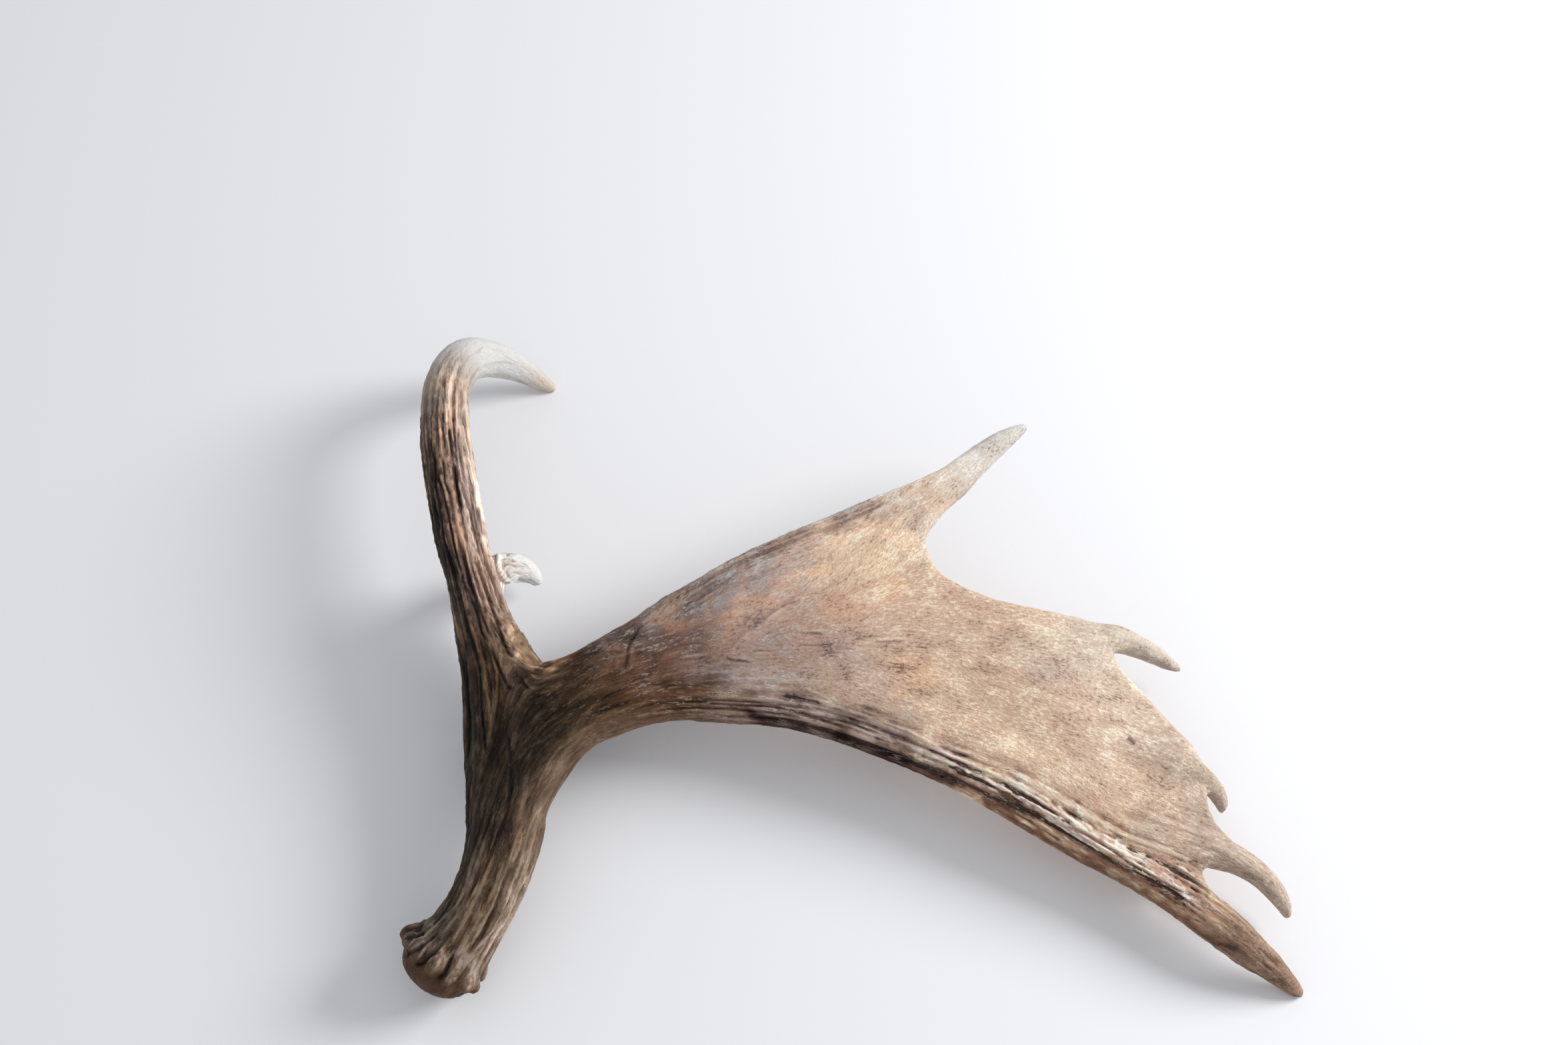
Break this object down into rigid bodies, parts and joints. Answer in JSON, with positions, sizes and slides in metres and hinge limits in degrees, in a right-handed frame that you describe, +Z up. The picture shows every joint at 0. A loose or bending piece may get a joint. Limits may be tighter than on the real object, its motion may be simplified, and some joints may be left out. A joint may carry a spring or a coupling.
{
  "type": "moose antler",
  "caption": "Shed moose antler: a knobbed burr and round beam that fork into a curved brow branch and a broad, tined palm, lying hollow side down.",
  "frame": {"origin": "middle of the antler's box, at the surface it lies on", "axes": "+X from the burr to the lowest palm tine, +Y from the burr to the brow tine, +Z up out of the rounded outer face"},
  "size_m": [0.7006, 0.5688, 0.1059],
  "materials": {
    "beam_bone": "dry antler bone, ridged, dark brown with grey ridge tops",
    "brow_bone": "dry antler bone, deeply ridged, orange brown, ivory towards the tips",
    "palm_bone": "dry antler bone, satin, mottled tan and cream"
  },
  "bodies": {
    "root": {"beam": "beam_bone", "brow_branch": "brow_bone", "palm": "palm_bone"}
  },
  "joints": []
}
